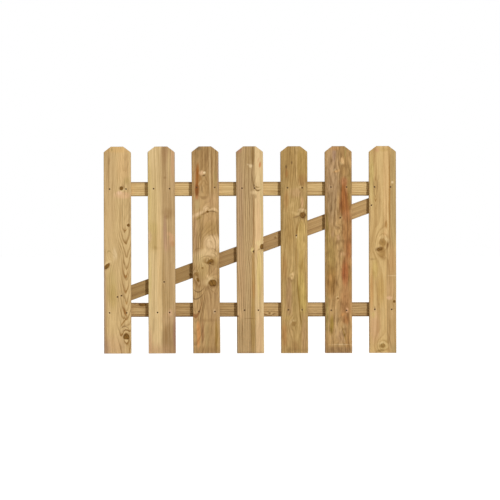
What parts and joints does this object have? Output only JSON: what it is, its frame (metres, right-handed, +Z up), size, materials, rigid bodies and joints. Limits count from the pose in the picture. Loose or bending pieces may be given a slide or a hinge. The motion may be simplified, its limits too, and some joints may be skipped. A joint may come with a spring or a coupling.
{
  "type": "garden gate",
  "caption": "Low picket gate leaf of upright dog-eared pales nailed to two rear rails, with a diagonal brace between the rails.",
  "frame": {"origin": "bottom centre of the whole leaf: midway along its width and its depth, at the bottom ends of the pales", "axes": "+X across the leaf from the hinge side to the latch side, -Y out of the pale (front) face, +Z up"},
  "size_m": [0.992, 0.046, 0.7025],
  "materials": {
    "pale_1_wood": "planed softwood, unpainted, with a matt honey-coloured surface",
    "pale_2_wood": "planed softwood, unpainted, with a matt honey-coloured surface",
    "pale_3_wood": "planed softwood, unpainted, with a matt honey-coloured surface",
    "pale_4_wood": "planed softwood, unpainted, with a matt honey-coloured surface",
    "pale_5_wood": "planed softwood, unpainted, with a matt honey-coloured surface",
    "pale_6_wood": "planed softwood, unpainted, with a matt honey-coloured surface",
    "pale_7_wood": "planed softwood, unpainted, with a matt honey-coloured surface",
    "rail_wood": "planed softwood, unpainted, with a matt honey-coloured surface",
    "brace_wood": "planed softwood, unpainted, with a matt honey-coloured surface",
    "nail_steel": "dull plain steel, darkened by brown surface rust"
  },
  "bodies": {
    "root": {"pale_1": "pale_1_wood", "pale_2": "pale_2_wood", "pale_3": "pale_3_wood", "pale_4": "pale_4_wood", "pale_5": "pale_5_wood", "pale_6": "pale_6_wood", "pale_7": "pale_7_wood", "top_rail": "rail_wood", "bottom_rail": "rail_wood", "brace": "brace_wood", "nail_pale_1_bottom_left": "nail_steel", "nail_pale_1_bottom_right": "nail_steel", "nail_pale_1_top_left": "nail_steel", "nail_pale_1_top_right": "nail_steel", "nail_pale_2_bottom_left": "nail_steel", "nail_pale_2_bottom_right": "nail_steel", "nail_pale_2_top_left": "nail_steel", "nail_pale_2_top_right": "nail_steel", "nail_pale_3_bottom_left": "nail_steel", "nail_pale_3_bottom_right": "nail_steel", "nail_pale_3_top_left": "nail_steel", "nail_pale_3_top_right": "nail_steel", "nail_pale_4_bottom_left": "nail_steel", "nail_pale_4_bottom_right": "nail_steel", "nail_pale_4_top_left": "nail_steel", "nail_pale_4_top_right": "nail_steel", "nail_pale_5_bottom_left": "nail_steel", "nail_pale_5_bottom_right": "nail_steel", "nail_pale_5_top_left": "nail_steel", "nail_pale_5_top_right": "nail_steel", "nail_pale_6_bottom_left": "nail_steel", "nail_pale_6_bottom_right": "nail_steel", "nail_pale_6_top_left": "nail_steel", "nail_pale_6_top_right": "nail_steel", "nail_pale_7_bottom_left": "nail_steel", "nail_pale_7_bottom_right": "nail_steel", "nail_pale_7_top_left": "nail_steel", "nail_pale_7_top_right": "nail_steel", "brace_nail_1_pale_1": "nail_steel", "brace_nail_2_pale_1": "nail_steel", "brace_nail_3_pale_2": "nail_steel", "brace_nail_4_pale_3": "nail_steel", "brace_nail_5_pale_4": "nail_steel", "brace_nail_6_pale_5": "nail_steel", "brace_nail_7_pale_6": "nail_steel", "brace_nail_8_pale_7": "nail_steel"}
  },
  "joints": []
}
